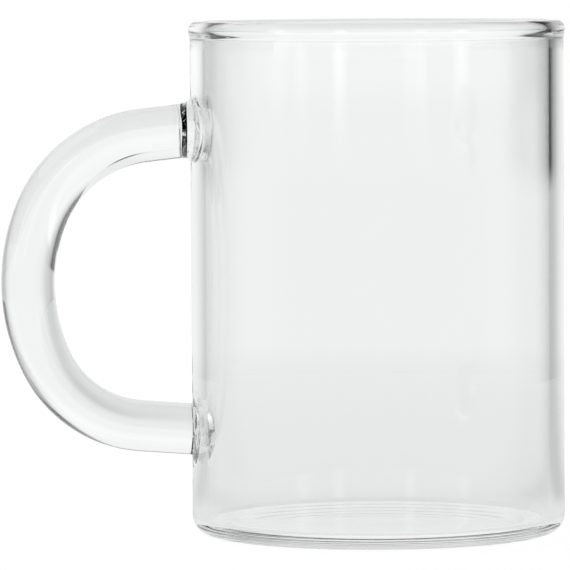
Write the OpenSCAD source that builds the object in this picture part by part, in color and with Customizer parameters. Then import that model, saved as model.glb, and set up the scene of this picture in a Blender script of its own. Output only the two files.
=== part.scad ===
// Clear glass mug: a straight-sided body and a C-shaped handle bent from solid glass rod.
// The rod's two legs are joined to the wall by fused seals.
// Millimetres, +Z up. The origin is on the body's axis, in the plane that the mug stands on.
// The handle points along -X.

/* [Body] */
// Outer diameter of the body
body_d = 60; // [54:0.5:80]
// Height from the table to the top of the rim
body_h = 82.4; // [70:0.2:110]
// Thickness of the side wall
wall_t = 2.35; // [1.6:0.05:3]
// Thickness of the base
base_t = 2.5; // [1.8:0.1:4]
// Outer radius of the heel, where the wall turns into the base
heel_r = 3; // [2:0.1:5]
// Radius of the inner corner between wall and base
corner_r = 0.5; // [0.4:0.1:2.4]
// Width of the flat ring that the mug stands on
ring_w = 3.5; // [2:0.1:8]
// Depth of the shallow hollow inside that ring, under the base
hollow_depth = 0.8; // [0.2:0.05:1.2]

/* [Rim] */
// How far the fire-polished rim stands proud of the wall outside
rim_out = 0.2; // [0.1:0.05:0.5]
// How far the rim stands proud of the wall inside
rim_in = 0.25; // [0.1:0.05:0.5]
// Radius of the rim's outer upper corner
rim_outer_r = 1.3; // [0.6:0.05:1.5]
// Radius of the rim's inner upper corner
rim_inner_r = 0.7; // [0.4:0.05:1]
// Height from the rim's top down to where its two lower corners start
rim_depth = 2; // [1.6:0.1:3]
// Radius of the rim's two lower corners
rim_lower_r = 0.9; // [0.4:0.05:1.2]

/* [Handle] */
// Diameter of the glass rod
rod_d = 8.7; // [7:0.05:11]
// How far the rod swells, on its radius, where one bend runs into the next
bend_swell = 0.02; // [0.01:0.01:0.1]
// Distance from the rim's top down to the upper leg's axis, at the wall
upper_below_rim = 17.4; // [13:0.1:24]
// Height of the lower leg's axis, at the wall
lower_z = 16.8; // [12:0.1:22]
// Distance from the wall to the rod's axis at the back of the handle
handle_reach = 26.25; // [20:0.25:36]
// Length of the upper leg, along its axis, from the wall to its bend
upper_leg_l = 7.5; // [4:0.25:12]
// Length of the lower leg, along its axis, from the wall to its bend
lower_leg_l = 8.25; // [4:0.25:12]
// Angle by which the upper leg rises towards the wall
upper_rise = 6.4; // [0:0.1:12]
// Angle by which the lower leg falls towards the wall
lower_fall = 4; // [0:0.1:12]
// Angle that the back bend spans above the handle's furthest point
back_upper_turn = 22; // [10:0.5:40]
// Angle that the back bend spans below the handle's furthest point
back_lower_turn = 25.4; // [10:0.1:40]

/* [Fused seals] */
// Radius of the upper seal's flare between rod and wall
upper_flare_r = 2.2; // [1:0.1:3]
// Radius of the lower seal's flare between rod and wall
lower_flare_r = 0.8; // [0.5:0.1:2]
// Height of the bump that the upper seal leaves inside the wall
upper_bump_h = 0.75; // [0.3:0.05:1.5]
// Diameter of that bump
upper_bump_d = 8.8; // [6:0.1:12]
// Height of the bump that the lower seal leaves inside the wall
lower_bump_h = 1.2; // [0.5:0.05:2]
// Diameter of that bump
lower_bump_d = 10; // [7:0.1:13]

/* [Hidden] */
$fn = 192;
glass = [0.88, 0.91, 0.91, 0.5];
seal_glass = [0.78, 0.82, 0.83, 0.6];

body_r = body_d / 2;
inner_r = body_r - wall_t;
wall_mid_r = body_r - wall_t / 2;
rim_low_z = body_h - rim_depth;

// the hollow under the base is part of a large sphere
hollow_r = body_r - heel_r - ring_w;
hollow_sphere_r = (pow(hollow_r, 2) + pow(hollow_depth, 2)) / (2 * hollow_depth);

// The handle lies in the XZ plane, so its points and directions are [x, z].
// Each leg starts at its foot on the wall and runs out along its direction. "inward" points into the C.
rod_r = rod_d / 2;
upper_z = body_h - upper_below_rim;
upper_foot = [-body_r, upper_z];
upper_dir = [-cos(upper_rise), -sin(upper_rise)];
upper_inward = [sin(upper_rise), -cos(upper_rise)];
upper_leg_end = upper_foot + upper_leg_l * upper_dir;
lower_foot = [-body_r, lower_z];
lower_dir = [-cos(lower_fall), sin(lower_fall)];
lower_inward = [sin(lower_fall), cos(lower_fall)];
lower_leg_end = lower_foot + lower_leg_l * lower_dir;

// The three bends run smoothly into each other, and together they bridge the height between the legs' ends
// and the depth from each leg's end to the back. That sets their radii.
back_x = -body_r - handle_reach;
upper_depth = upper_leg_end[0] - back_x;
lower_depth = lower_leg_end[0] - back_x;
legs_apart = upper_leg_end[1] - lower_leg_end[1];
upper_slope = corner_height(upper_rise, back_upper_turn) / corner_depth(upper_rise, back_upper_turn);
lower_slope = corner_height(lower_fall, back_lower_turn) / corner_depth(lower_fall, back_lower_turn);
height_left = legs_apart - upper_depth * upper_slope - lower_depth * lower_slope;
height_per_r = back_height(back_upper_turn) - back_depth(back_upper_turn) * upper_slope
    + back_height(back_lower_turn) - back_depth(back_lower_turn) * lower_slope;
back_bend_r = height_left / height_per_r;
upper_bend_r = corner_bend_r(upper_depth, upper_rise, back_upper_turn);
lower_bend_r = corner_bend_r(lower_depth, lower_fall, back_lower_turn);

upper_centre = upper_leg_end + upper_bend_r * upper_inward;
lower_centre = lower_leg_end + lower_bend_r * lower_inward;
back_top_out = [-cos(back_upper_turn), sin(back_upper_turn)];
back_low_out = [-cos(back_lower_turn), -sin(back_lower_turn)];
back_top = upper_centre + upper_bend_r * back_top_out;
back_low = lower_centre + lower_bend_r * back_low_out;
back_centre = back_top - back_bend_r * back_top_out;

// Depth and height of a corner bend of radius 1, from a leg at one angle to the back bend's end at another.
function corner_depth(leg, back) = cos(back) - sin(leg);
function corner_height(leg, back) = cos(leg) - sin(back);

// Depth and height of a back bend of radius 1, from its furthest point to its end.
function back_depth(back) = 1 - cos(back);
function back_height(back) = sin(back);

// Radius of the corner bend that takes up the depth which the back bend leaves.
function corner_bend_r(depth, leg, back) =
    (depth - back_bend_r * back_depth(back)) / corner_depth(leg, back);

// Radius of the sphere whose cap has this diameter and height.
function cap_r(d, h) = (pow(d / 2, 2) + pow(h, 2)) / (2 * h);

// Turns +Z to a direction in the XZ plane and moves the origin to a foot.
module along_leg(foot, dir) {
    translate([foot[0], 0, foot[1]])
        rotate([0, atan2(dir[0], dir[1]), 0])
            children();
}

// Half of a vertical cut through the outside of the body, up to the rim.
module outer_profile() {
    square([body_r - heel_r, rim_low_z]);
    translate([0, heel_r])
        square([body_r, rim_low_z - heel_r]);
    translate([body_r - heel_r, heel_r])
        circle(r = heel_r);
}

// Half of a vertical cut through the space inside, out past the rim.
module inner_profile() {
    translate([0, base_t])
        square([inner_r - corner_r, body_h]);
    translate([0, base_t + corner_r])
        square([inner_r, body_h]);
    translate([inner_r - corner_r, base_t + corner_r])
        circle(r = corner_r);
}

// The rim's bead, a little wider than the wall, with rounded corners.
module rim_profile() {
    out_x = body_r + rim_out;
    in_x = inner_r - rim_in;
    bead([in_x, out_x], [rim_low_z, body_h], [rim_inner_r, rim_outer_r]);
    bead([in_x, out_x], [rim_low_z, rim_low_z - rim_lower_r], [rim_lower_r, rim_lower_r]);
}

// One half of the bead, from its straight middle at z[0] to its flat end at z[1]. It has a corner of each radius.
module bead(x, z, r) {
    turn = sign(z[1] - z[0]);
    for (side = [0, 1]) {
        inwards = side == 0 ? 1 : -1;
        translate([x[side] + inwards * r[side], z[1] - turn * r[side]])
            circle(r = r[side]);
        box([x[side], z[0]], [x[side] + inwards * r[side], z[1] - turn * r[side]]);
    }
    box([x[0] + r[0], z[0]], [x[1] - r[1], z[1]]);
}

// A rectangle between two opposite corners, and none where they are level.
module box(a, b) {
    size = [abs(b[0] - a[0]), abs(b[1] - a[1])];
    if (size[0] > 0 && size[1] > 0)
        translate([min(a[0], b[0]), min(a[1], b[1])])
            square(size);
}

// The bump inside the wall behind a seal, where the hot rod pushed the wall in.
module seal_bump(z, d, h) {
    r = cap_r(d, h);
    intersection() {
        translate([-(inner_r - h + r), 0, z])
            sphere(r = r);
        cylinder(r = wall_mid_r, h = body_h);
    }
}

// The body: wall, base and rim, one piece of glass.
module cup_body() {
    color(glass)
    union() {
        rotate_extrude() {
            difference() {
                outer_profile();
                inner_profile();
                translate([0, hollow_depth - hollow_sphere_r])
                    circle(r = hollow_sphere_r);
            }
            rim_profile();
        }
        seal_bump(upper_z, upper_bump_d, upper_bump_h);
        seal_bump(lower_z, lower_bump_d, lower_bump_h);
    }
}

// One bend of the rod about a centre in the XZ plane, between two angles.
module rod_bend(centre, r, from, to) {
    translate([centre[0], 0, centre[1]])
        rotate([90, 0, 0])
            rotate_extrude(angle = to - from, start = from)
                translate([r, 0])
                    circle(r = rod_r);
}

// The straight part of a leg, from its seal's outer face to its bend.
module rod_leg(foot, dir, flare_r, length) {
    along_leg(foot, dir)
        translate([0, 0, flare_r])
            cylinder(r = rod_r, h = length - flare_r);
}

// The slight swelling of the rod where two stretches meet, which also closes them into one solid.
module rod_knuckle(point) {
    translate([point[0], 0, point[1]])
        sphere(r = rod_r + bend_swell);
}

// The handle: one rod with an upper bend, a wide back bend and a lower bend.
module handle_rod() {
    color(glass)
    union() {
        rod_leg(upper_foot, upper_dir, upper_flare_r, upper_leg_l);
        rod_bend(upper_centre, upper_bend_r, 90 + upper_rise, 180 - back_upper_turn);
        rod_bend(back_centre, back_bend_r, 180 - back_upper_turn, 180 + back_lower_turn);
        rod_bend(lower_centre, lower_bend_r, 180 + back_lower_turn, 270 - lower_fall);
        rod_leg(lower_foot, lower_dir, lower_flare_r, lower_leg_l);
        for (point = [upper_leg_end, back_top, back_low, lower_leg_end])
            rod_knuckle(point);
    }
}

// A fused seal: a flare between the rod's end and the wall, cut to the wall's outer face.
module seal(foot, dir, flare_r) {
    foot_r = rod_r + flare_r;
    difference() {
        along_leg(foot, dir)
            rotate_extrude()
                difference() {
                    translate([0, -rod_r])
                        square([foot_r, rod_r + flare_r]);
                    translate([foot_r, flare_r])
                        circle(r = flare_r);
                }
        cylinder(r = body_r, h = body_h);
    }
}

module upper_seal() {
    color(seal_glass)
    seal(upper_foot, upper_dir, upper_flare_r);
}

module lower_seal() {
    color(seal_glass)
    seal(lower_foot, lower_dir, lower_flare_r);
}

cup_body();
handle_rod();
upper_seal();
lower_seal();
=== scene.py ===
"""Dresses the clear glass mug: body, rod handle and fused seals as smooth glass, in a white studio.

Sizes are in millimetres and follow the part's own dimensions. Meshes are written in metres, in the
part's frame: +Z is up, the body's axis is Z, the mug stands on z = 0 and the handle points along -X.
"""
import logging
from collections.abc import Callable, Iterable
from dataclasses import dataclass
from enum import Enum
from math import atan2, cos, hypot, pi, radians, sin

import bmesh
import bpy
from bmesh.types import BMesh, BMVert
from mathutils import Matrix, Vector, noise


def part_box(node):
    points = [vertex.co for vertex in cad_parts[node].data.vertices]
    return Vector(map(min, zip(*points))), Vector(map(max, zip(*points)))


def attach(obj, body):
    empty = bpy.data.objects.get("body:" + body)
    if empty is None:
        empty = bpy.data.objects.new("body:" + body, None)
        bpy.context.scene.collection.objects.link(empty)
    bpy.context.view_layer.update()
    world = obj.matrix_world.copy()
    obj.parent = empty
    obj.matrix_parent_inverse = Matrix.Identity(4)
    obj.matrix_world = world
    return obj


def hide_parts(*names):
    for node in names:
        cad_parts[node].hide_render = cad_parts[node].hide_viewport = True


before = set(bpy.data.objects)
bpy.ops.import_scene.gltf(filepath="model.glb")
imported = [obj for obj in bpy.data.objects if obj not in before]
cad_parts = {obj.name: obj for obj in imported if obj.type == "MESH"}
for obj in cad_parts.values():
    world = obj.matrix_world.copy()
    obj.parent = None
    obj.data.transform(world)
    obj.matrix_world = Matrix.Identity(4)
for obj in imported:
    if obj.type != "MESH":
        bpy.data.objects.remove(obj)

LOG = logging.getLogger("glass_mug")
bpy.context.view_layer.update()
MM = 0.001
RING = 96
"""Points round the rod and round each seal, the same for all, so that their edges meet point to point."""
TOUCH = 0.01
"""How near a point has to be to a wall's face to count as lying on it, in millimetres."""
WELD = 0.002
"""Points nearer to each other than this are merged, in millimetres."""
BEND_SWELL = 0.02
"""How far the part's rod swells in its bends, on its radius, in millimetres."""
LOWER_THINNING = 0.2
"""How much thinner the rod is on its lower leg, on its radius, in millimetres."""


def linear(hex_colour: str) -> tuple[float, float, float, float]:
    """Turns an sRGB hex colour into linear light.

    Args:
        hex_colour: Six hex digits, with or without a leading hash.

    Returns:
        Red, green, blue and an alpha of 1.
    """
    digits = hex_colour.lstrip("#")
    channels = [int(digits[i:i + 2], 16) / 255 for i in (0, 2, 4)]
    light = [c / 12.92 if c <= 0.04045 else ((c + 0.055) / 1.055) ** 2.4 for c in channels]
    return (*light, 1.0)


def grey(level: float) -> tuple[float, float, float, float]:
    """Gives a neutral colour of that linear level."""
    return (level, level, level, 1.0)


def add_node(tree: bpy.types.NodeTree, kind: str, values: dict[str | int, object] | None = None,
             links: dict[str | int, bpy.types.NodeSocket] | None = None,
             **settings: object) -> bpy.types.Node:
    """Adds one node to a tree.

    Args:
        tree: The node tree of a material or world.
        kind: The node's Blender type.
        values: Constants for its inputs, by name or number.
        links: Output sockets that feed its inputs, by name or number.
        **settings: The node's own properties.

    Returns:
        The new node.
    """
    node = tree.nodes.new(kind)
    for name, value in settings.items():
        setattr(node, name, value)
    for name, value in (values or {}).items():
        node.inputs[name].default_value = value
    for name, socket in (links or {}).items():
        tree.links.new(socket, node.inputs[name])
    return node


def bare_tree(owner: bpy.types.Material | bpy.types.World) -> bpy.types.NodeTree:
    """Empties the node tree of a new material or world.

    Args:
        owner: The material or world.

    Returns:
        Its node tree.
    """
    owner.use_nodes = True
    owner.node_tree.nodes.clear()
    return owner.node_tree


class Finish(Enum):
    """Which of a glass piece's two materials a face has, as the number of its slot."""

    GLASS = 0
    SEAM = 1


@dataclass(frozen=True)
class GlassFinish:
    """Clear borosilicate glass, flame-worked. The eye sees no surface, only what it bends and mirrors.

    Drawing leaves faint streaks along the piece and the flame leaves a slow unevenness, and both show
    only as a slight wander in the lines behind. Handling leaves a breath of haze.

    Attributes:
        name: The material's name.
        tint: Colour of light that has passed the surface.
        streak_mm: Width and length of one drawing streak.
        streak_depth_mm: How deep the streaks are.
        sway_mm: Width of the slow unevenness.
        sway_depth_mm: How deep the unevenness is.
        haze: Roughness of the haziest spots.
        haze_span: Levels of the slow unevenness between which the haze sets in.
        ior: Refractive index of borosilicate glass.
    """

    name: str
    tint: str
    streak_mm: tuple[float, float]
    streak_depth_mm: float
    sway_mm: float
    sway_depth_mm: float
    haze: float
    haze_span: tuple[float, float] = (0.55, 0.75)
    ior: float = 1.473

    def material(self) -> bpy.types.Material:
        """Makes the glass material.

        Returns:
            The new material.
        """
        made = bpy.data.materials.new(self.name)
        tree = bare_tree(made)
        place = add_node(tree, "ShaderNodeTexCoord").outputs["Object"]
        width, length = self.streak_mm
        drawn = add_node(tree, "ShaderNodeMapping", {"Scale": (1.0, 1.0, width / length)},
                         {"Vector": place})
        streaks = add_node(tree, "ShaderNodeTexNoise", {"Scale": 1 / (width * MM), "Detail": 2.0},
                           {"Vector": drawn.outputs[0]})
        sway = add_node(tree, "ShaderNodeTexNoise", {"Scale": 1 / (self.sway_mm * MM), "Detail": 1.0},
                        {"Vector": place})
        uneven = add_node(tree, "ShaderNodeBump", {"Strength": 1.0, "Distance": self.sway_depth_mm * MM},
                          {"Height": sway.outputs["Fac"]})
        drawn_bump = add_node(tree, "ShaderNodeBump",
                              {"Strength": 1.0, "Distance": self.streak_depth_mm * MM},
                              {"Height": streaks.outputs["Fac"], "Normal": uneven.outputs["Normal"]})
        clear_at, hazy_at = self.haze_span
        haze = add_node(tree, "ShaderNodeMapRange",
                        {"From Min": clear_at, "From Max": hazy_at, "To Max": self.haze},
                        {"Value": sway.outputs["Fac"]})
        glass = add_node(tree, "ShaderNodeBsdfPrincipled",
                         {"Base Color": linear(self.tint), "Transmission Weight": 1.0, "IOR": self.ior},
                         {"Roughness": haze.outputs["Result"], "Normal": drawn_bump.outputs["Normal"]})
        add_node(tree, "ShaderNodeOutputMaterial", links={"Surface": glass.outputs["BSDF"]})
        return made


@dataclass(frozen=True)
class FusedSeam:
    """Faces where two pieces are melted into one. The glass runs on there, so the eye sees nothing.

    Attributes:
        name: The material's name.
    """

    name: str = "fused_glass_seam"

    def material(self) -> bpy.types.Material:
        """Makes the seam's material.

        Returns:
            The new material.
        """
        made = bpy.data.materials.new(self.name)
        tree = bare_tree(made)
        through = add_node(tree, "ShaderNodeBsdfTransparent", {"Color": grey(1.0)})
        add_node(tree, "ShaderNodeOutputMaterial", links={"Surface": through.outputs["BSDF"]})
        return made


# Drawn tube: faint long streaks along the body, so that lines behind it wander a little.
TUBE_GLASS = GlassFinish(
    name="borosilicate_drawn_tube", tint="FCFDFD", streak_mm=(5.0, 60.0), streak_depth_mm=0.004,
    sway_mm=22.0, sway_depth_mm=0.012, haze=0.02)
# Bent rod: shorter streaks, because the flame softened it along its bends.
ROD_GLASS = GlassFinish(
    name="borosilicate_bent_rod", tint="FCFDFD", streak_mm=(3.0, 9.0), streak_depth_mm=0.003,
    sway_mm=14.0, sway_depth_mm=0.012, haze=0.02)
# Melted seal: no streaks are left, and the surface is uneven on a small scale.
SEAL_GLASS = GlassFinish(
    name="borosilicate_melted_seal", tint="FBFCFC", streak_mm=(2.0, 2.0), streak_depth_mm=0.006,
    sway_mm=5.0, sway_depth_mm=0.02, haze=0.02)


class ProfilePen:
    """Draws a half section in the XZ plane, stretch by stretch, as a chain of edges."""

    def __init__(self, r: float, z: float) -> None:
        """Starts the chain.

        Args:
            r: Distance of the first point from the axis, in millimetres.
            z: Its height, in millimetres.
        """
        self.mesh: BMesh = bmesh.new()
        self.tip: BMVert = self.mesh.verts.new((r * MM, 0.0, z * MM))

    def line(self, r: float, z: float, steps: int = 1) -> None:
        """Draws a straight stretch.

        Args:
            r: Where it ends, from the axis.
            z: The height where it ends.
            steps: How many edges it has.
        """
        stride = (Vector((r * MM, 0.0, z * MM)) - self.tip.co) / steps
        for _ in range(steps):
            self.tip = bmesh.ops.extrude_vert_indiv(self.mesh, verts=[self.tip])["verts"][0]
            bmesh.ops.translate(self.mesh, vec=stride, verts=[self.tip])

    def arc(self, r: float, z: float, turn: float, steps: int) -> None:
        """Draws a round stretch about a centre.

        Args:
            r: The centre's distance from the axis.
            z: The centre's height.
            turn: Degrees to turn, anticlockwise with r to the right and z up.
            steps: How many edges it has.
        """
        spun = bmesh.ops.spin(self.mesh, geom=[self.tip], cent=(r * MM, 0.0, z * MM), axis=(0, -1, 0),
                              angle=radians(turn), steps=steps)
        self.tip = spun["geom_last"][0]

    def curve(self, point: Callable[[float], tuple[float, float]], steps: int) -> None:
        """Draws a stretch that a formula gives.

        Args:
            point: Distance from the axis and height, for a share from 0 to 1 of the stretch.
            steps: How many edges it has.
        """
        for i in range(1, steps + 1):
            self.line(*point(i / steps))


def turn_of(k: int) -> float:
    """The angle of point k of a ring."""
    return 2 * pi * k / RING


def move_to(points: Iterable[BMVert], places: Iterable[Vector]) -> None:
    """Moves points to places that are given in millimetres."""
    for point, spot in zip(points, places):
        point.co = spot * MM


def next_ring(mesh: BMesh, ring: list[BMVert], places: list[Vector]) -> list[BMVert]:
    """Extrudes a ring of edges to a new ring.

    Args:
        mesh: The mesh.
        ring: Its last ring's points, in order.
        places: Where the new points go, in the same order, in millimetres.

    Returns:
        The new ring's points, in the same order.
    """
    edges = [mesh.edges.get((ring[i - 1], ring[i])) for i in range(len(ring))]
    made = bmesh.ops.extrude_edge_only(mesh, edges=edges)["geom"]
    new = {item for item in made if isinstance(item, BMVert)}
    partner = [next(e.other_vert(v) for e in v.link_edges if e.other_vert(v) in new) for v in ring]
    move_to(partner, places)
    return partner


def sharpen_seams(mesh: BMesh) -> None:
    """Marks the edges between glass and fused faces sharp, so that each keeps its own shading.

    Args:
        mesh: The piece's mesh.
    """
    for edge in mesh.edges:
        if len({face.material_index for face in edge.link_faces}) > 1:
            edge.smooth = False


def mesh_object(name: str, mesh: BMesh, *materials: bpy.types.Material) -> bpy.types.Object:
    """Turns a mesh into a smooth object at the origin.

    Args:
        name: Its name.
        mesh: The mesh, in metres. It is freed.
        *materials: Its materials, in the order of their slots.

    Returns:
        The new object, linked to the scene.
    """
    for face in mesh.faces:
        face.smooth = True
    data = bpy.data.meshes.new(name)
    mesh.to_mesh(data)
    mesh.free()
    for material in materials:
        data.materials.append(material)
    made = bpy.data.objects.new(name, data)
    bpy.context.scene.collection.objects.link(made)
    return made


def stage_object(name: str, mesh: BMesh, material: bpy.types.Material, seen: bool) -> bpy.types.Object:
    """Turns a mesh into part of the stage.

    Args:
        name: Its name.
        mesh: The mesh, in metres. It is freed.
        material: Its material.
        seen: Whether the camera sees it, besides the glass.

    Returns:
        The new object.
    """
    thing = mesh_object(name, mesh, material)
    thing.visible_camera = seen
    return thing


@dataclass
class Seal:
    """Where a leg of the handle is melted to the wall: its place, its flare and the bump it leaves inside.

    Attributes:
        name: The part's node.
        wall_r: Radius of the wall's outer face.
        rod_r: The rod's radius where it joins.
        z: Height of the leg's axis at the wall.
        tilt: Angle by which the leg falls, going out from the wall. A rising leg has a negative one.
        length: Length along the leg, up to the rod's end.
        spread: How far the flare runs over the wall upwards, downwards and to each side.
        wedge: How far the flare stands off the wall at its turn, above and below the rod and beside it.
        turn_at: How far from the wall that turn is steepest.
        bump_h: Height of the bump inside the wall.
        bump_d: Diameter of that bump.
        ripple: How uneven the bump is.
        ripple_w: Width of that unevenness.
        skirt: How far the bump runs out, as a multiple of its radius.
        taper: How softly it runs out.
        sweep: Share of its spread over which the flare keeps to the wall.
        window: Half the height of the stretch of wall that is opened for the seal's foot.
    """

    name: str
    wall_r: float
    rod_r: float
    z: float
    tilt: float
    length: float
    spread: tuple[float, float, float]
    wedge: tuple[float, float]
    turn_at: float
    bump_h: float
    bump_d: float
    ripple: float
    ripple_w: float = 2.2
    skirt: float = 1.2
    taper: float = 1.5
    sweep: float = 0.85
    window: float = 9.0

    @property
    def foot(self) -> Vector:
        """The point where the leg's axis meets the wall, in millimetres."""
        return Vector((-self.wall_r, 0.0, self.z))

    @property
    def out(self) -> Vector:
        """The leg's direction, away from the wall."""
        return Vector((-cos(radians(self.tilt)), 0.0, -sin(radians(self.tilt))))

    @property
    def up(self) -> Vector:
        """The direction across the leg, upwards."""
        return Vector((-sin(radians(self.tilt)), 0.0, cos(radians(self.tilt))))

    def footprint(self, angle: float) -> float:
        """Distance from the axis to the flare's edge on the wall.

        Args:
            angle: Direction on the wall: 0 is towards -Y and a quarter turn is up.

        Returns:
            The distance in millimetres.
        """
        above, below, beside = self.spread
        lift = above if sin(angle) > 0 else below
        return self.rod_r + hypot(beside * cos(angle), lift * sin(angle))

    def on_wall(self, angle: float, share: float) -> tuple[Vector, Vector]:
        """A point of the seal's foot on the wall's outer face.

        Args:
            angle: Direction on the wall.
            share: 1 on the flare's edge and 0 on the axis.

        Returns:
            The point in millimetres, and the direction along the wall back to the axis.
        """
        reach = self.footprint(angle) * share
        turn = pi + reach * cos(angle) / self.wall_r
        point = Vector((self.wall_r * cos(turn), self.wall_r * sin(turn), self.z + reach * sin(angle)))
        along = Vector((-sin(turn), cos(turn), 0.0))
        return point, -(along * cos(angle) + Vector((0.0, 0.0, 1.0)) * sin(angle))

    def on_window(self, k: int, share: float, side: float) -> Vector:
        """A point of the wall between the flare's edge and the window round it.

        Args:
            k: Which point of the ring it is.
            share: 0 on the flare's edge and 1 on the window's edge.
            side: Half the window's width, as an angle round the body's axis.

        Returns:
            The point in millimetres.
        """
        quarter = RING // 4
        along = (k + quarter // 2) % quarter / (quarter / 2) - 1
        sides = [(1.0, along), (-along, 1.0), (-1.0, -along), (along, -1.0)]
        right, top = sides[(k + quarter // 2) // quarter % len(sides)]
        reach = self.footprint(turn_of(k))
        turn = (1 - share) * reach * cos(turn_of(k)) / self.wall_r + share * right * side
        rise = (1 - share) * reach * sin(turn_of(k)) + share * top * self.window
        return Vector((-self.wall_r * cos(turn), -self.wall_r * sin(turn), self.z + rise))

    def on_rod(self, angle: float) -> Vector:
        """A point of the seal's outer face, where the rod's end joins it."""
        across = Vector((0.0, -1.0, 0.0)) * cos(angle) + self.up * sin(angle)
        return self.foot + self.out * self.length + across * self.rod_r

    def on_flare(self, angle: float, share: float) -> Vector:
        """A point of the flare, a curve that leaves the wall along the wall and meets the rod along the rod.

        Args:
            angle: Direction round the leg.
            share: 0 on the wall and 1 on the rod.

        Returns:
            The point in millimetres.
        """
        start, inwards = self.on_wall(angle, 1.0)
        end = self.on_rod(angle)
        side = self.on_wall(angle, self.rod_r / self.footprint(angle))[0]
        wedge = hypot(self.wedge[0] * sin(angle), self.wedge[1] * cos(angle))
        spread = self.footprint(angle) - self.rod_r
        leaves = start + inwards * (self.sweep * spread) + self.out * wedge
        meets = side + self.out * self.turn_at
        s, t = 1 - share, share
        return start * s ** 3 + leaves * (3 * s * s * t) + meets * (3 * s * t * t) + end * t ** 3

    def bump(self, spot: Vector, away: float) -> float:
        """How far the wall is pushed in at a spot, which lies that many millimetres from the leg's axis."""
        cap = max(0.0, 1 - (away / (self.skirt * self.bump_d / 2)) ** 2) ** self.taper
        return cap * (self.bump_h + self.ripple * noise.noise(spot / (self.ripple_w * MM)))

    def patch(self, mesh: BMesh, rim: list[BMVert], steps: int = 5) -> None:
        """Fills the seal's foot with faces that lie on the wall.

        Args:
            mesh: The mesh that has the foot's edge.
            rim: The edge's points, in order of angle.
            steps: How many rings of faces there are.
        """
        before = set(mesh.faces)
        ring = rim
        for i in range(1, steps):
            share = 1 - i / steps
            ring = next_ring(mesh, ring, [self.on_wall(turn_of(k), share)[0] for k in range(RING)])
        last = next_ring(mesh, ring, [self.foot] * RING)
        bmesh.ops.pointmerge(mesh, verts=last, merge_co=self.foot * MM)
        for face in set(mesh.faces) - before:
            face.material_index = Finish.SEAM.value

    def build(self, glass: GlassFinish, seam: bpy.types.Material,
              steps: int = 18) -> bpy.types.Object:
        """Makes the seal as a closed piece: flare, foot on the wall and face to the rod.

        Args:
            glass: Its finish.
            seam: The material of its two fused faces.
            steps: How many rings of faces the flare has.

        Returns:
            The new object.
        """
        mesh = bmesh.new()
        edge = bmesh.ops.create_circle(mesh, segments=RING, radius=1.0)["verts"]
        move_to(edge, [self.on_wall(turn_of(k), 1.0)[0] for k in range(RING)])
        ring = edge
        for i in range(1, steps + 1):
            share = i / steps
            ring = next_ring(mesh, ring, [self.on_flare(turn_of(k), share) for k in range(RING)])
        cap = mesh.faces.new(ring)
        cap.material_index = Finish.SEAM.value
        self.patch(mesh, edge)
        bmesh.ops.recalc_face_normals(mesh, faces=mesh.faces)
        sharpen_seams(mesh)
        return mesh_object(self.name + "_glass", mesh, glass.material(), seam)


@dataclass(frozen=True)
class RimSide:
    """One side of the fire-polished rim.

    Attributes:
        swell: How far it stands proud of the wall.
        corner: Width and height of its rounded upper corner.
        depth: Height from the rim's top down to where it starts to run back into the wall.
        blend: Height over which it does so.
    """

    swell: float
    corner: tuple[float, float]
    depth: float
    blend: float

    def run(self, share: float) -> float:
        """How far it stands proud, at a share of the height over which it runs into the wall."""
        return self.swell * (3 - 2 * share) * share * share


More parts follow.
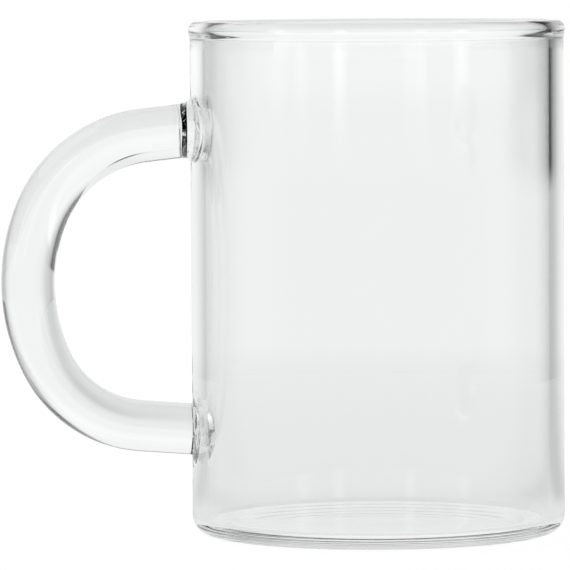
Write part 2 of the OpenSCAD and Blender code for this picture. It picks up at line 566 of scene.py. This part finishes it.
@dataclass
class CupBody:
    """The body: wall, base, heel and rim, turned in one piece and pushed in a little behind each seal.

    Attributes:
        outer_r: Radius of the wall's outer face.
        height: Height of the rim's top.
        seals: The seals that join it.
        rim_outer: The rim's outer side.
        rim_inner: The rim's inner side.
        wall: Thickness of the wall.
        base: Thickness of the base.
        heel_r: Outer radius between wall and base.
        corner_r: Inner radius between wall and base.
        ring_w: Width of the flat ring that the mug stands on.
        hollow: Depth of the hollow under the base.
        segments: Steps round the axis.
        row: Height of one row of faces on the plain wall.
        fine_half: Half the height of the finely divided stretch behind a seal, as a share of bump_d.
        fine_row: Height of one row there, as a share of a row round a seal's foot.
        window_rings: Rings of faces between a seal's foot and the edge of its window.
    """

    outer_r: float
    height: float
    seals: list[Seal]
    rim_outer: RimSide
    rim_inner: RimSide = RimSide(swell=0.25, corner=(0.7, 0.67), depth=1.4, blend=1.18)
    wall: float = 2.35
    base: float = 2.5
    heel_r: float = 3.0
    corner_r: float = 0.5
    ring_w: float = 3.5
    hollow: float = 0.8
    segments: int = 288
    row: float = 3.0
    fine_half: float = 0.62
    fine_row: float = 0.6
    window_rings: int = 5

    @property
    def inner_r(self) -> float:
        """Radius of the wall's inner face."""
        return self.outer_r - self.wall

    def rows(self, height: float) -> int:
        """How many rows of faces a plain stretch of wall of that height has."""
        return max(2, round(height / self.row))

    def profile(self) -> ProfilePen:
        """Draws the half section, from the middle of the underside round to the middle of the floor inside.

        Returns:
            The pen that holds the section.
        """
        ring_out = self.outer_r - self.heel_r
        ring_in = ring_out - self.ring_w
        floor_r = self.inner_r - self.corner_r
        out, lip = self.rim_outer, self.rim_inner
        out_r, lip_r = self.outer_r + out.swell, self.inner_r - lip.swell
        wall_top = self.height - out.depth - out.blend
        pen = ProfilePen(0.0, self.hollow)
        pen.curve(lambda t: (ring_in * t, self.hollow * (1 - t * t)), steps=14)
        pen.line(ring_out, 0.0, steps=5)
        pen.arc(ring_out, self.heel_r, turn=90, steps=16)
        for seal in sorted(self.seals, key=lambda s: s.z):
            low, high = seal.z - seal.window, seal.z + seal.window
            pen.line(self.outer_r, low, self.rows(low - pen.tip.co.z / MM))
            pen.line(self.outer_r, high, RING // 4)
        pen.line(self.outer_r, wall_top, steps=3)
        pen.curve(lambda t: (self.outer_r + out.run(t), wall_top + out.blend * t), steps=10)
        pen.line(out_r, self.height - out.corner[1], steps=3)
        pen.curve(lambda t: (out_r - out.corner[0] * (1 - cos(t * pi / 2)),
                             self.height - out.corner[1] * (1 - sin(t * pi / 2))), steps=18)
        pen.line(lip_r + lip.corner[0], self.height, steps=4)
        pen.curve(lambda t: (lip_r + lip.corner[0] * (1 - sin(t * pi / 2)),
                             self.height - lip.corner[1] * (1 - cos(t * pi / 2))), steps=14)
        pen.line(lip_r, self.height - lip.depth, steps=3)
        pen.curve(lambda t: (self.inner_r - lip.run(1 - t), self.height - lip.depth - lip.blend * t),
                  steps=10)
        for seal in sorted(self.seals, key=lambda s: -s.z):
            half = self.fine_half * seal.bump_d
            fine = self.fine_row * seal.window / (RING / 8)
            pen.line(self.inner_r, seal.z + half, self.rows(pen.tip.co.z / MM - seal.z - half))
            pen.line(self.inner_r, seal.z - half, round(2 * half / fine))
        pen.line(self.inner_r, self.base + self.corner_r, steps=3)
        pen.arc(floor_r, self.base + self.corner_r, turn=-90, steps=12)
        pen.line(0.0, self.base, steps=24)
        return pen

    def push_in(self, mesh: BMesh) -> None:
        """Raises the bumps inside the wall behind the seals.

        Args:
            mesh: The body's mesh.
        """
        for seal in self.seals:
            for vert in mesh.verts:
                r = hypot(vert.co.x, vert.co.y) / MM
                if abs(r - self.inner_r) < TOUCH and vert.co.x < 0:
                    aside = atan2(vert.co.y, -vert.co.x) * self.inner_r
                    rise = seal.bump(vert.co, hypot(aside, vert.co.z / MM - seal.z))
                    vert.co.xy *= (r - rise) / r

    def open_for(self, seal: Seal, mesh: BMesh) -> None:
        """Gives the wall's outer face the outline of a seal's foot, with fused faces inside it.

        Args:
            seal: The seal.
            mesh: The body's mesh.
        """
        side = 2 * pi / self.segments * RING / 8

        def inside(vert: BMVert) -> bool:
            """Tells whether a point lies on the outer face within the seal's window.

            Args:
                vert: The point.

            Returns:
                Whether it lies there.
            """
            aside = abs(atan2(vert.co.y, -vert.co.x)) - side
            above = abs(vert.co.z / MM - seal.z) - seal.window
            off_face = abs(hypot(vert.co.x, vert.co.y) / MM - self.outer_r)
            return max(off_face, above, aside * self.outer_r) < TOUCH

        gone = [face for face in mesh.faces if all(inside(v) for v in face.verts)]
        bmesh.ops.delete(mesh, geom=gone, context="FACES")
        edge = bmesh.ops.create_circle(mesh, segments=RING, radius=1.0)["verts"]
        move_to(edge, [seal.on_wall(turn_of(k), 1.0)[0] for k in range(RING)])
        ring = edge
        for i in range(1, self.window_rings + 1):
            share = i / self.window_rings
            ring = next_ring(mesh, ring, [seal.on_window(k, share, side) for k in range(RING)])
        seal.patch(mesh, edge)

    def build(self, glass: GlassFinish, seam: bpy.types.Material) -> bpy.types.Object:
        """Makes the body.

        Args:
            glass: Its finish.
            seam: The material of the faces fused to the seals.

        Returns:
            The new object.
        """
        mesh = self.profile().mesh
        bmesh.ops.spin(mesh, geom=mesh.verts[:] + mesh.edges[:], cent=(0, 0, 0), axis=(0, 0, 1),
                       angle=2 * pi, steps=self.segments, use_merge=True)
        bmesh.ops.remove_doubles(mesh, verts=mesh.verts, dist=WELD * MM)
        self.push_in(mesh)
        for seal in self.seals:
            self.open_for(seal, mesh)
        bmesh.ops.remove_doubles(mesh, verts=mesh.verts, dist=WELD * MM)
        bmesh.ops.recalc_face_normals(mesh, faces=mesh.faces)
        return mesh_object("cup_body_glass", mesh, glass.material(), seam)


@dataclass
class HandleRod:
    """The handle: one solid rod with a leg to each seal, two corner bends and a wide back bend.

    Attributes:
        upper: The seal of the upper leg, which has the rod's radius.
        lower: The seal of the lower leg, which has its radius there, where drawing thinned it.
        reach: Distance from the wall to the rod's axis at the back.
        upper_leg: Length of the upper leg from the wall to its bend.
        lower_leg: Length of the lower leg from the wall to its bend.
        upper_turn: Angle that the back bend spans above the furthest point.
        lower_turn: Angle that the back bend spans below the furthest point.
        thin_from: Height below which the rod gets thinner.
        thin_over: Height over which it does so.
        leg_steps: Rings of faces along a leg.
        bend_step: Degrees of a bend from ring to ring.
    """

    upper: Seal
    lower: Seal
    reach: float = 26.25
    upper_leg: float = 7.5
    lower_leg: float = 8.25
    upper_turn: float = 22.0
    lower_turn: float = 25.4
    thin_from: float = 40.0
    thin_over: float = 20.0
    leg_steps: int = 6
    bend_step: float = 1.5

    def bends(self) -> list[tuple[Vector, float]]:
        """Works out the three bends, which run smoothly into each other.

        Returns:
            Centre and angle turned, for the upper, back and lower bend.
        """
        rise, fall = radians(self.upper.tilt), radians(-self.lower.tilt)
        above, below = radians(self.upper_turn), radians(self.lower_turn)
        start = self.upper.foot + self.upper.out * self.upper_leg
        end = self.lower.foot + self.lower.out * self.lower_leg
        back_x = self.upper.foot.x - self.reach
        upper_depth, lower_depth = start.x - back_x, end.x - back_x
        upper_slope = (cos(rise) - sin(above)) / (cos(above) - sin(rise))
        lower_slope = (cos(fall) - sin(below)) / (cos(below) - sin(fall))
        left = start.z - end.z - upper_depth * upper_slope - lower_depth * lower_slope
        back_r = left / (sin(above) - (1 - cos(above)) * upper_slope
                         + sin(below) - (1 - cos(below)) * lower_slope)
        upper_r = (upper_depth - back_r * (1 - cos(above))) / (cos(above) - sin(rise))
        lower_r = (lower_depth - back_r * (1 - cos(below))) / (cos(below) - sin(fall))
        upper_c = start - self.upper.up * upper_r
        lower_c = end + self.lower.up * lower_r
        back_c = upper_c + Vector((cos(above), 0.0, -sin(above))) * (back_r - upper_r)
        return [
            (upper_c, 90 - self.upper_turn - self.upper.tilt),
            (back_c, self.upper_turn + self.lower_turn),
            (lower_c, 90 - self.lower_turn + self.lower.tilt),
        ]

    def build(self, glass: GlassFinish, seam: bpy.types.Material) -> bpy.types.Object:
        """Makes the rod.

        Args:
            glass: Its finish.
            seam: The material of its two fused ends.

        Returns:
            The new object.
        """
        mesh = bmesh.new()
        ring = bmesh.ops.create_circle(mesh, segments=RING, radius=1.0)["verts"]
        move_to(ring, [self.upper.on_rod(turn_of(k)) for k in range(RING)])
        first = ring
        upper_way = self.upper.out * (self.upper_leg - self.upper.length)
        lower_way = -self.lower.out * (self.lower_leg - self.lower.length)
        ring = self.sweep(mesh, ring, Matrix.Translation(upper_way / self.leg_steps), self.leg_steps)
        for centre, turn in self.bends():
            steps = round(turn / self.bend_step)
            about = Matrix.Translation(centre)
            step = about @ Matrix.Rotation(-radians(turn) / steps, 4, "Y") @ about.inverted()
            ring = self.sweep(mesh, ring, step, steps)
        ring = self.sweep(mesh, ring, Matrix.Translation(lower_way / self.leg_steps), self.leg_steps)
        self.thin_lower_leg(mesh)
        for end in (first, ring):
            mesh.faces.new(end).material_index = Finish.SEAM.value
        bmesh.ops.recalc_face_normals(mesh, faces=mesh.faces)
        sharpen_seams(mesh)
        return mesh_object("handle_rod_glass", mesh, glass.material(), seam)

    @staticmethod
    def sweep(mesh: BMesh, ring: list[BMVert], step: Matrix, steps: int) -> list[BMVert]:
        """Extrudes a ring on and on by the same movement.

        Args:
            mesh: The rod's mesh.
            ring: The ring's points, in order.
            step: The movement from ring to ring, in millimetres.
            steps: How many rings that makes.

        Returns:
            The last ring's points, in the same order.
        """
        for _ in range(steps):
            ring = next_ring(mesh, ring, [step @ (vert.co / MM) for vert in ring])
        return ring

    def thin_lower_leg(self, mesh: BMesh) -> None:
        """Draws the rod thinner along its lower bend and leg.

        Args:
            mesh: The rod's mesh, which still holds its rings in order.
        """
        mesh.verts.ensure_lookup_table()
        for start in range(0, len(mesh.verts), RING):
            ring = mesh.verts[start:start + RING]
            middle = sum((v.co for v in ring), Vector()) / RING
            share = min(1.0, max(0.0, (self.thin_from - middle.z / MM) / self.thin_over))
            factor = 1 + (self.lower.rod_r / self.upper.rod_r - 1) * share * share * (3 - 2 * share)
            bmesh.ops.scale(mesh, vec=(factor,) * 3, verts=ring, space=Matrix.Translation(-middle))


# Stops that several rows of the screen share: degrees from straight behind, and level.
FLOOR_WHITE = (
    (-42, 0.63), (-38, 0.69), (-33, 0.81), (-28, 0.88), (-20, 0.918), (14, 0.918), (21, 0.88), (26, 0.82),
    (30, 0.72), (34, 0.60), (38, 0.53))
LEFT_FLAG = ((-112, 0.03), (-53, 0.03), (-49, 0.24), (-46, 0.48))
RIGHT_FLAG = ((72, 0.03), (80, 0.60), (112, 0.88))


@dataclass(frozen=True)
class ToneRow:
    """One row of the screen's tones.

    Attributes:
        low: Height of its lower edge.
        soft: Height over which that edge fades.
        stops: Degrees from straight behind, with the right side positive, and level there. The first
            and the last are the screen's two ends.
    """

    low: float
    soft: float
    stops: tuple[tuple[float, float], ...]


@dataclass(frozen=True)
class Screen:
    """The curved studio screen round the mug, white behind it and running to black flags at the sides.

    The glass shows it bent, which draws the dark lines along its edges. The camera does not see it.

    Attributes:
        radius: Distance from the mug's axis, in millimetres.
        height: Height of its upper edge.
        reach: How far round it goes on each side, in degrees from straight behind.
        foot: How much of its level the lowest row has left at the floor.
        foot_height: Height over which it gains its full level.
        rows: Its rows of tones, from the floor up.
        table: The light and shade that it would throw on the open table, painted there as tones.
    """

    radius: float = 330.0
    height: float = 620.0
    reach: float = 112.0
    foot: float = 0.945
    foot_height: float = 7.0
    rows: tuple[ToneRow, ...] = (
        ToneRow(0.0, 1.0, (
            (-112, 0.90), (-76, 0.88), (-68, 0.80), (-62, 0.62), (-56, 0.52), (-50, 0.55), (-45, 0.62),
            *FLOOR_WHITE, (50, 0.50), (58, 0.54), (66, 0.80), (74, 0.88), (112, 0.90))),
        ToneRow(44.0, 8.0, (
            (-112, 0.90), (-78, 0.88), (-71, 0.60), (-66, 0.08), (-53, 0.03), (-49, 0.22), (-46, 0.46),
            (-43, 0.53), (-39, 0.62), (-35, 0.74), (-31, 0.86), (-25, 0.925), (10, 0.925), (16, 0.90),
            (22, 0.85), (27, 0.75), (30, 0.68), (33, 0.57), (35, 0.50), (38, 0.41), (40.5, 0.24), (43, 0.03),
            (58, 0.03), (64, 0.35), (72, 0.55), (82, 0.72), (112, 0.88))),
        ToneRow(62.0, 10.0, (
            (-112, 0.90), (-78, 0.88), (-71, 0.60), (-66, 0.06), (-53, 0.03), (-49, 0.24), (-46, 0.50),
            (-43, 0.58), (-40, 0.72), (-36, 0.92), (-32, 1.0), (-24, 1.0), (-18, 0.96), (10, 0.96),
            (16, 0.90), (22, 0.83), (27, 0.73), (30, 0.66), (33, 0.56), (38, 0.40), (40.5, 0.22), (43, 0.04),
            *RIGHT_FLAG)),
        ToneRow(84.0, 8.0, (
            *LEFT_FLAG, (-43, 0.64), (-40, 0.76), (-36, 0.87), (-33, 0.93), (6, 1.0), (15, 0.86), (21, 0.70),
            (27, 0.62), (33, 0.50), (45, 0.15), (58, 0.04), *RIGHT_FLAG)),
        ToneRow(128.0, 14.0, (
            *LEFT_FLAG, (-43, 0.66), (-40, 0.78), (-36, 0.86), (-30, 0.93), (8, 0.98), (17, 0.90),
            (23, 0.60), (29, 0.36), (45, 0.30), (52, 0.08), *RIGHT_FLAG)),
        ToneRow(210.0, 6.0, (
            *LEFT_FLAG, (-43, 0.66), (-40, 0.78), (-34, 0.85), (-27, 0.84), (-24, 0.50), (-21.5, 0.12),
            (-16, 0.12), (-14, 0.50), (-11, 0.90), (-6, 0.96), (15, 0.92), (21, 0.42), (27, 0.05),
            *RIGHT_FLAG)),
        ToneRow(228.0, 8.0, (
            (-112, 0.85), (-22, 0.85), (-8, 0.96), (15, 0.92), (21, 0.42), (27, 0.05), *RIGHT_FLAG)),
    )
    # Painted shade for the table: the flags' shadows as levels round the mug.
    table: ToneRow = ToneRow(0.0, 1.0, (
        (-112, 0.90), (-66, 0.88), (-58, 0.76), (-50, 0.66), *FLOOR_WHITE, (50, 0.54), (64, 0.86),
        (112, 0.90)))

    def tone(self, tree: bpy.types.NodeTree, row: ToneRow,
             place: bpy.types.NodeSocket) -> bpy.types.NodeSocket:
        """Adds the nodes that give a row's level at a place.

        Args:
            tree: The node tree.
            row: The row.
            place: Where, in the part's frame.

        Returns:
            The level, as a colour.
        """
        axes = add_node(tree, "ShaderNodeSeparateXYZ", links={0: place}).outputs
        turn = add_node(tree, "ShaderNodeMath", links={0: axes["X"], 1: axes["Y"]}, operation="ARCTAN2")
        share = add_node(tree, "ShaderNodeMapRange",
                         {"From Min": radians(-self.reach), "From Max": radians(self.reach)},
                         {"Value": turn.outputs[0]})
        ramp = add_node(tree, "ShaderNodeValToRGB", links={"Fac": share.outputs["Result"]})
        marks = ramp.color_ramp.elements
        for angle, _ in row.stops[1:-1]:
            marks.new((angle + self.reach) / (2 * self.reach))
        for mark, (_, level) in zip(marks, row.stops):
            mark.color = grey(level)
        return ramp.outputs["Color"]

    def cloth(self) -> bpy.types.Material:
        """Makes the screen's lit cloth.

        Returns:
            The new material.
        """
        made = bpy.data.materials.new("lit_screen")
        tree = bare_tree(made)
        place = add_node(tree, "ShaderNodeTexCoord").outputs["Object"]
        height = add_node(tree, "ShaderNodeSeparateXYZ", links={0: place}).outputs["Z"]
        lift = add_node(tree, "ShaderNodeMapRange", {"From Max": self.foot_height * MM, "To Min": self.foot},
                        {"Value": height}, interpolation_type="SMOOTHSTEP")
        level = add_node(tree, "ShaderNodeMix", {0: 1.0},
                         {6: self.tone(tree, self.rows[0], place), 7: lift.outputs["Result"]},
                         data_type="RGBA", blend_type="MULTIPLY").outputs[2]
        for row in self.rows[1:]:
            low, high = (row.low - row.soft / 2) * MM, (row.low + row.soft / 2) * MM
            rise = add_node(tree, "ShaderNodeMapRange", {"From Min": low, "From Max": high},
                            {"Value": height}, interpolation_type="SMOOTHSTEP")
            level = add_node(tree, "ShaderNodeMix",
                             links={0: rise.outputs["Result"], 6: level, 7: self.tone(tree, row, place)},
                             data_type="RGBA").outputs[2]
        glow = add_node(tree, "ShaderNodeEmission", links={"Color": level})
        add_node(tree, "ShaderNodeOutputMaterial", links={"Surface": glow.outputs[0]})
        return made

    def build(self) -> None:
        """Stands the screen round the mug, where the glass sees it and the camera does not."""
        mesh = bmesh.new()
        turn = radians(self.reach)
        low = mesh.verts.new((-self.radius * MM * sin(turn), self.radius * MM * cos(turn), 0.0))
        high = bmesh.ops.extrude_vert_indiv(mesh, verts=[low])
        bmesh.ops.translate(mesh, vec=(0.0, 0.0, self.height * MM), verts=high["verts"])
        bmesh.ops.spin(mesh, geom=[low] + high["verts"] + high["edges"], cent=(0, 0, 0), axis=(0, 0, -1),
                       angle=2 * turn, steps=round(self.reach))
        stage_object("screen", mesh, self.cloth(), seen=False)


@dataclass(frozen=True)
class Board:
    """A flat upright board of the studio, which the glass sees and the camera does not.

    A lit one shows as a soft bright streak along the glass.

    Attributes:
        name: Its name.
        ends: Where its two ends stand, in millimetres on the table.
        low: Height of its lower edge.
        high: Height of its upper edge.
        level: Its level: near 0 for a black flag and over 1 for a lit strip.
        feather: Width over which its edges fade.
    """

    name: str
    ends: tuple[tuple[float, float], tuple[float, float]]
    low: float = -10.0
    high: float = 640.0
    level: float = 1.75
    feather: float = 80.0

    def cloth(self, width: float) -> bpy.types.Material:
        """Makes the board's cloth, which fades out towards its edges.

        Args:
            width: The board's width in millimetres.

        Returns:
            The new material.
        """
        made = bpy.data.materials.new(self.name)
        tree = bare_tree(made)
        place = add_node(tree, "ShaderNodeTexCoord").outputs["Object"]
        axes = add_node(tree, "ShaderNodeSeparateXYZ", links={0: place})
        fades = []
        for axis, half in (("X", width / 2), ("Y", (self.high - self.low) / 2)):
            away = add_node(tree, "ShaderNodeMath", links={0: axes.outputs[axis]}, operation="ABSOLUTE")
            fade = add_node(tree, "ShaderNodeMapRange",
                            {"From Min": half * MM, "From Max": (half - self.feather) * MM},
                            {"Value": away.outputs[0]}, interpolation_type="SMOOTHSTEP")
            fades.append(fade.outputs["Result"])
        inside = add_node(tree, "ShaderNodeMath", links=dict(enumerate(fades)), operation="MULTIPLY")
        glow = add_node(tree, "ShaderNodeEmission", {"Color": grey(1.0), "Strength": self.level})
        clear = add_node(tree, "ShaderNodeBsdfTransparent")
        cover = add_node(tree, "ShaderNodeMixShader",
                         links={0: inside.outputs[0], 1: clear.outputs[0], 2: glow.outputs[0]})
        add_node(tree, "ShaderNodeOutputMaterial", links={"Surface": cover.outputs[0]})
        return made

    def build(self) -> None:
        """Stands the board up."""
        (x0, y0), (x1, y1) = self.ends
        width, height = hypot(x1 - x0, y1 - y0), self.high - self.low
        middle = Vector(((x0 + x1) / 2, (y0 + y1) / 2, (self.low + self.high) / 2))
        mesh = bmesh.new()
        bmesh.ops.create_grid(mesh, x_segments=1, y_segments=1, size=0.5,
                              matrix=Matrix.Diagonal((width * MM, height * MM, 1.0, 1.0)))
        board = stage_object(self.name, mesh, self.cloth(width), seen=False)
        board.visible_diffuse = False
        board.matrix_world = (Matrix.Translation(middle * MM)
                              @ Matrix.Rotation(atan2(y1 - y0, x1 - x0), 4, "Z")
                              @ Matrix.Rotation(pi / 2, 4, "X"))


BOARDS = (
    Board("window_far_left", ends=((-1455, -365), (-1250, -830)), feather=120.0),
    Board("window_left", ends=((-710, -1321), (-465, -1426))),
    Board("window_right", ends=((540, -1400), (780, -1281))),
    Board("window_far_right", ends=((1090, -1030), (1275, -790))),
)


@dataclass(frozen=True)
class Table:
    """The white table, which the camera sees as plain white with a faint shadow.

    The glass sees a painted shadow under the mug and, further out, painted shade: the tones that the screen
    would throw on it, put into the table's glow. That draws the grey lines along the base and the heel.

    Attributes:
        half: Half its width.
        shade_y: How far behind the axis the middle of the shade under the mug lies.
        shade_r: Distances from that middle between which the shade gets lighter.
        shade_tone: The table's level in that shade.
        near_tone: Its level round that shade.
        open_r: Distances from the axis between which the screen's tones set in.
        open_share: How much of those tones the open table takes on.
        to_glass: Levels of its paint and of its glow, as the glass sees them.
        to_camera: The same levels, as the camera sees them.
    """

    half: float = 4000.0
    shade_y: float = 8.0
    shade_r: tuple[float, float] = (18.0, 24.0)
    shade_tone: float = 0.77
    near_tone: float = 0.845
    open_r: tuple[float, float] = (45.0, 85.0)
    open_share: float = 0.8
    to_glass: tuple[float, float] = (0.14, 0.86)
    to_camera: tuple[float, float] = (0.22, 0.93)

    def paint(self, screen: Screen) -> bpy.types.Material:
        """Makes the table's white paint.

        Args:
            screen: The screen round it.

        Returns:
            The new material.
        """
        made = bpy.data.materials.new("white_table")
        tree = bare_tree(made)
        path = add_node(tree, "ShaderNodeLightPath")
        place = add_node(tree, "ShaderNodeTexCoord").outputs["Object"]
        away = add_node(tree, "ShaderNodeVectorMath", links={0: place}, operation="LENGTH")
        behind = add_node(tree, "ShaderNodeVectorMath", {1: (0.0, self.shade_y * MM, 0.0)}, {0: place},
                          operation="DISTANCE")
        # Painted shade: the glow that the glass sees is darkened under the mug and, further out, toned as
        # the screen's flags would shade the table.
        spans = []
        for (start, end), tones, distance in ((self.open_r, (0.0, self.open_share), away),
                                              (self.shade_r, (self.shade_tone, self.near_tone), behind)):
            span = add_node(tree, "ShaderNodeMapRange",
                            {"From Min": start * MM, "From Max": end * MM, "To Min": tones[0],
                             "To Max": tones[1]},
                            {"Value": distance.outputs["Value"]}, interpolation_type="SMOOTHSTEP")
            spans.append(span.outputs["Result"])
        lit = add_node(tree, "ShaderNodeMix",
                       links={0: spans[0], 6: spans[1], 7: screen.tone(tree, screen.table, place)},
                       data_type="RGBA")
        sides = []
        for (paint_level, glow_level), tone in ((self.to_glass, {"Color": lit.outputs[2]}),
                                                (self.to_camera, {})):
            paint = add_node(tree, "ShaderNodeBsdfDiffuse", {"Color": grey(paint_level)})
            glow = add_node(tree, "ShaderNodeEmission", {"Color": grey(1.0), "Strength": glow_level}, tone)
            side = add_node(tree, "ShaderNodeAddShader", links={0: paint.outputs[0], 1: glow.outputs[0]})
            sides.append(side.outputs[0])
        both = add_node(tree, "ShaderNodeMixShader",
                        links={0: path.outputs["Is Camera Ray"], 1: sides[0], 2: sides[1]})
        add_node(tree, "ShaderNodeOutputMaterial", links={"Surface": both.outputs[0]})
        return made

    def build(self, screen: Screen) -> None:
        """Lays the table under the mug.

        Args:
            screen: The screen round it.
        """
        mesh = bmesh.new()
        bmesh.ops.create_grid(mesh, x_segments=1, y_segments=1, size=self.half * MM)
        stage_object("floor", mesh, self.paint(screen), seen=True)


@dataclass
class Studio:
    """A plain white studio: a table, a curved screen, lit windows, an even surround and one soft lamp.

    Attributes:
        surround: Level of the surround that the glass bends and mirrors.
        ceiling: Level of the surround straight overhead.
        ceiling_from: Degrees above level between which the surround turns into the ceiling.
        lamp_size: Width and depth of the lamp.
        lamp_place: Where it hangs.
        lamp_pitch: How far it is tipped from pointing straight down, in degrees.
        lamp_power: Its power in watts.
        bounces: How often a ray may pass through glass.
        turns: How often a ray may be mirrored or pass a fused seam.
    """

    surround: float = 0.92
    ceiling: float = 0.08
    ceiling_from: tuple[float, float] = (24.0, 40.0)
    lamp_size: tuple[float, float] = (900.0, 600.0)
    lamp_place: tuple[float, float, float] = (0.0, 900.0, 1000.0)
    lamp_pitch: float = -42.0
    lamp_power: float = 2.0
    bounces: int = 40
    turns: int = 24

    def world(self) -> None:
        """Makes the surround, white to the camera, and to the glass a little greyer and dark overhead."""
        world = bpy.data.worlds.new("white_surround")
        bpy.context.scene.world = world
        tree = bare_tree(world)
        path = add_node(tree, "ShaderNodeLightPath")
        way = add_node(tree, "ShaderNodeTexCoord").outputs["Generated"]
        rise = add_node(tree, "ShaderNodeSeparateXYZ", links={0: way}).outputs["Z"]
        start, end = (sin(radians(angle)) for angle in self.ceiling_from)
        level = add_node(tree, "ShaderNodeMapRange",
                         {"From Min": start, "From Max": end, "To Min": self.surround,
                          "To Max": self.ceiling}, {"Value": rise}, interpolation_type="SMOOTHSTEP")
        seen = add_node(tree, "ShaderNodeBackground", {"Color": grey(1.0), "Strength": 1.0})
        around = add_node(tree, "ShaderNodeBackground", {"Color": grey(1.0)},
                          {"Strength": level.outputs["Result"]})
        mix = add_node(tree, "ShaderNodeMixShader",
                       links={0: path.outputs["Is Camera Ray"], 1: around.outputs[0], 2: seen.outputs[0]})
        add_node(tree, "ShaderNodeOutputWorld", links={"Surface": mix.outputs[0]})

    def lamp(self) -> None:
        """Hangs the soft lamp over the mug."""
        data = bpy.data.lights.new("soft_lamp", "AREA")
        data.shape = "RECTANGLE"
        data.size, data.size_y = (side * MM for side in self.lamp_size)
        data.energy = self.lamp_power
        lamp = bpy.data.objects.new("soft_lamp", data)
        lamp.location = Vector(self.lamp_place) * MM
        lamp.rotation_euler = (radians(self.lamp_pitch), 0.0, 0.0)
        bpy.context.scene.collection.objects.link(lamp)

    def build(self) -> None:
        """Sets up the screen, the surround, the table, the lamp and the windows."""
        screen = Screen()
        screen.build()
        self.world()
        Table().build(screen)
        self.lamp()
        for board in BOARDS:
            board.build()
        scene = bpy.context.scene
        scene.view_settings.view_transform = "Standard"
        scene.cycles.max_bounces = self.bounces
        scene.cycles.transmission_bounces = self.bounces
        scene.cycles.glossy_bounces = self.turns
        scene.cycles.transparent_max_bounces = self.turns


@dataclass
class PhotoCamera:
    """A long lens a little above the rim, as the photograph was taken.

    Attributes:
        place: The lens, in millimetres.
        pitch: How far it looks down, in degrees.
        roll: How far it leans, in degrees.
        lens: Its focal length.
        film: Width of the frame that the focal length belongs to.
        clip: Nearest and furthest distance that it sees, in millimetres.
    """

    place: tuple[float, float, float] = (-14.9, -860.0, 92.84)
    pitch: float = 3.52
    roll: float = -0.332
    lens: float = 338.1
    film: float = 36.0
    clip: tuple[float, float] = (10.0, 50000.0)

    def build(self) -> None:
        """Makes the camera."""
        data = bpy.data.cameras.new("photo_camera")
        data.sensor_width = self.film
        data.lens = self.lens
        data.clip_start, data.clip_end = (distance * MM for distance in self.clip)
        camera = bpy.data.objects.new("photo_camera", data)
        camera.matrix_world = (Matrix.Translation(Vector(self.place) * MM)
                               @ Matrix.Rotation(radians(90 - self.pitch), 4, "X")
                               @ Matrix.Rotation(radians(self.roll), 4, "Z"))
        bpy.context.scene.collection.objects.link(camera)
        bpy.context.scene.camera = camera


def main() -> None:
    """Builds the mug and its studio."""
    logging.basicConfig(level=logging.INFO, format="%(name)s: %(message)s")
    rim = RimSide(swell=0.2, corner=(1.29, 1.4), depth=1.8, blend=1.19)
    body_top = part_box("cup_body")[1]
    outer_r, height = body_top.x / MM - rim.swell, body_top.z / MM
    rod_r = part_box("handle_rod")[1].y / MM - BEND_SWELL
    upper = Seal(
        "upper_seal", outer_r, rod_r, z=height - 17.4, tilt=6.4, length=3.0, spread=(1.0, 0.5, 3.0),
        wedge=(0.05, 1.2), turn_at=1.2, bump_h=0.75, bump_d=8.8, ripple=0.05)
    lower = Seal(
        "lower_seal", outer_r, rod_r - LOWER_THINNING, z=16.8, tilt=-4.0, length=0.8,
        spread=(0.1, 0.2, 0.05), wedge=(0.0, 0.0), turn_at=0.1, bump_h=1.2, bump_d=10.0, ripple=0.4)
    seam = FusedSeam().material()
    body = CupBody(outer_r, height, [upper, lower], rim)
    rod = HandleRod(upper, lower)
    pieces = [
        ("cup_body", "body_glass", body.build(TUBE_GLASS, seam)),
        ("handle_rod", "rod_glass", rod.build(ROD_GLASS, seam)),
        ("upper_seal", "seal_glass", upper.build(SEAL_GLASS, seam)),
        ("lower_seal", "seal_glass", lower.build(SEAL_GLASS, seam)),
    ]
    for node, slot, piece in pieces:
        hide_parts(node)
        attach(piece, "root")
        LOG.info("%s: %d faces", piece.name, len(piece.data.polygons))
    Studio().build()
    PhotoCamera().build()


if __name__ == "__main__":
    main()
